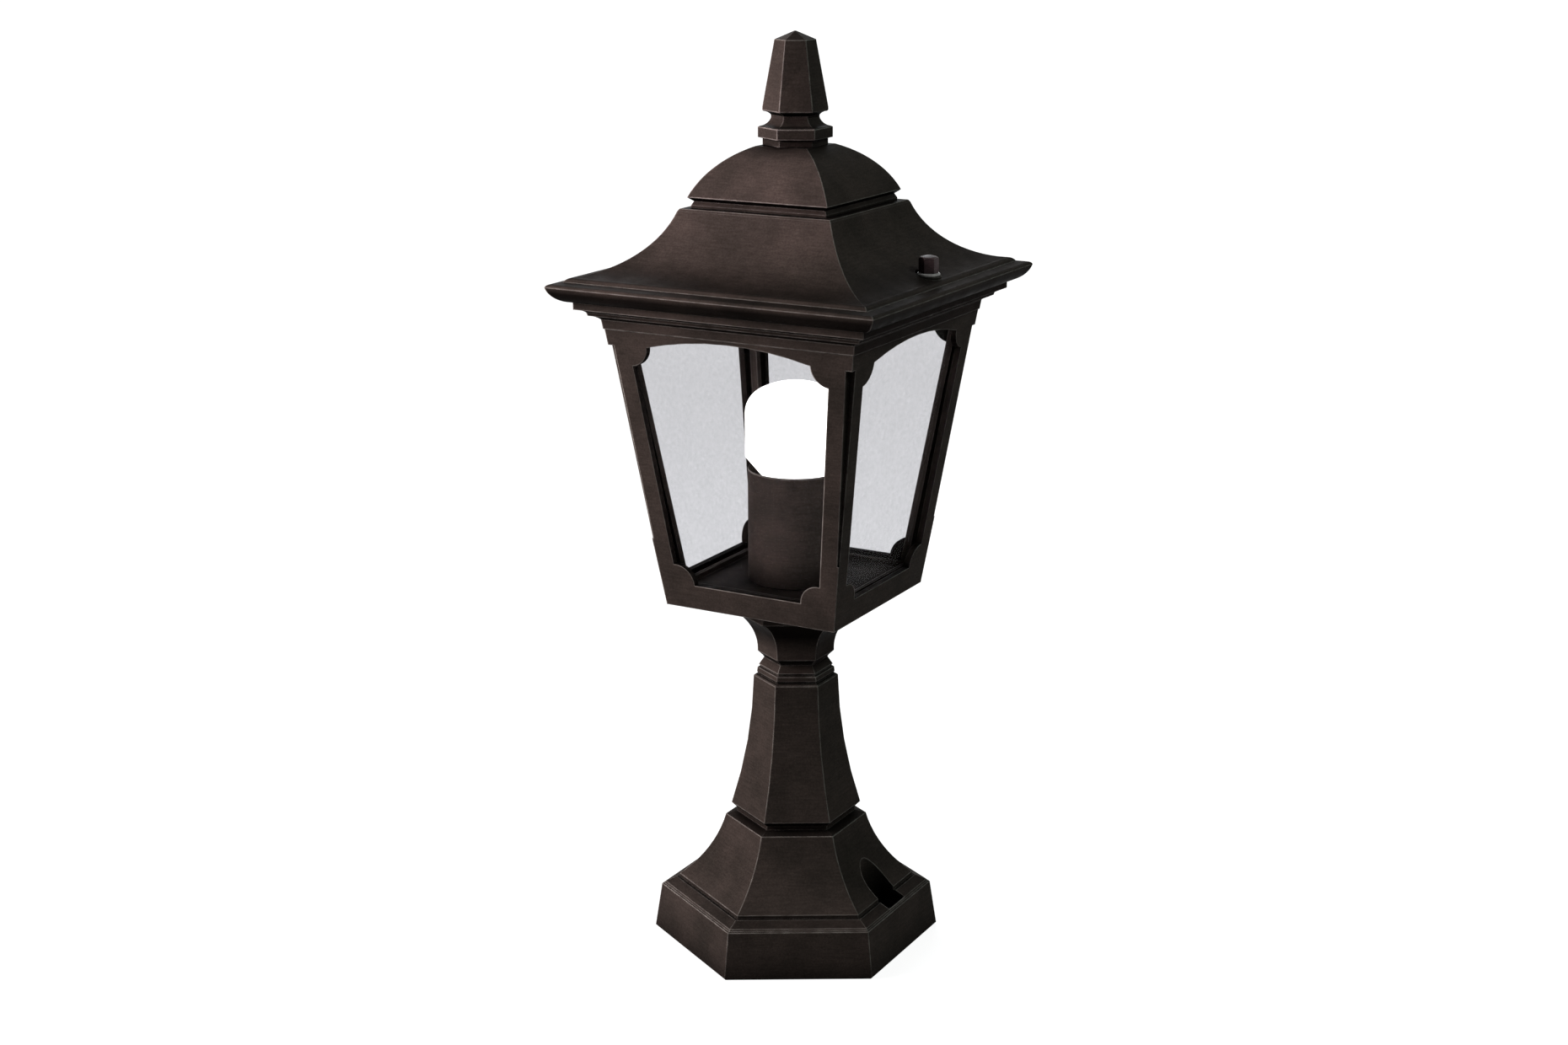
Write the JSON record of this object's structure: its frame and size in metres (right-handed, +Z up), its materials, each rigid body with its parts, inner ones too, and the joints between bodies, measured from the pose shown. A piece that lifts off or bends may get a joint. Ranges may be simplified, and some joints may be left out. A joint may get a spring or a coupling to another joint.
{
  "type": "post top lantern",
  "caption": "Square glazed lantern head with a two-stage roof and hexagonal finial, on a hexagonal column and a flared hexagonal foot with side wells for fixing screws.",
  "frame": {"origin": "middle of the foot's underside", "axes": "+Z up along the lantern's axis; -Y out of the face on the left of the picture, +X out of the face on its right, through one roof nut and one fixing well"},
  "size_m": [0.212, 0.212, 0.56],
  "materials": {
    "powder_coated_casting": "dark brown-black satin powder coat on cast aluminium",
    "clear_glass": "clear, glossy",
    "zinc_steel": "zinc plated",
    "stainless_stud": "stainless, threaded",
    "black_cap_nut": "dark coated steel",
    "black_rubber": "matte",
    "dark_sleeve": "dark coated sheet",
    "black_phenolic": "moulded, satin",
    "brass": "bright",
    "lamp_brass_cap": "bright, threaded",
    "lamp_contact_metal": "tinned",
    "lamp_insulator_glass": "black, glossy",
    "lamp_opal_glass": "opal white, lit",
    "white_nylon": "moulded"
  },
  "bodies": {
    "lantern": {"foot": "powder_coated_casting", "column": "powder_coated_casting", "neck_cup": "powder_coated_casting", "lantern_frame": "powder_coated_casting", "pane_front": "clear_glass", "pane_right": "clear_glass", "pane_back": "clear_glass", "pane_left": "clear_glass", "pane_clips": "zinc_steel", "tie_tube": "zinc_steel", "foot_nut": "zinc_steel", "foot_washer": "zinc_steel", "floor_nut": "zinc_steel", "floor_washer": "zinc_steel", "roof_studs": "stainless_stud", "lamp_sleeve": "dark_sleeve", "lampholder_cap": "black_phenolic", "lampholder_skirt": "black_phenolic", "screw_shell": "brass", "centre_contact": "brass", "earth_tag": "brass", "terminal_block": "white_nylon"},
    "roof": {"roof_skirt": "powder_coated_casting", "roof_gasket": "black_rubber", "roof_dome": "powder_coated_casting", "finial": "powder_coated_casting", "finial_stud": "zinc_steel", "finial_washer": "zinc_steel", "finial_nut": "zinc_steel"},
    "cap_nut_right": {"roof_nut_right": "black_cap_nut"},
    "cap_nut_left": {"roof_nut_left": "black_cap_nut"},
    "lamp_end": {"lamp_contact": "lamp_contact_metal"},
    "lamp": {"lamp_cap": "lamp_brass_cap", "lamp_insulator": "lamp_insulator_glass", "lamp_glass": "lamp_opal_glass"}
  },
  "joints": [
    {"name": "roof_lift", "type": "slide", "parent": "lantern", "child": "roof", "axis": [0, 0, 1], "range_m": [0, 0.08]},
    {"name": "roof_nut_right_turn", "type": "hinge", "parent": "roof", "child": "cap_nut_right", "pos_m": [0.087, 0, 0.4253], "axis": [0, 0, 1], "continuous": true},
    {"name": "roof_nut_left_turn", "type": "hinge", "parent": "roof", "child": "cap_nut_left", "pos_m": [-0.087, 0, 0.4253], "axis": [0, 0, 1], "continuous": true},
    {"name": "lamp_rise", "type": "slide", "parent": "lantern", "child": "lamp_end", "axis": [0, 0, 1], "range_m": [0, 0.0109]},
    {"name": "lamp_turn", "type": "hinge", "parent": "lamp_end", "child": "lamp", "pos_m": [0, 0, 0.2594], "axis": [0, 0, 1], "range_deg": [0, 1080]}
  ],
  "couplings": [
    {"joint": "lamp_rise", "follows": "lamp_turn", "m_per_rad": 0.00057773}
  ]
}
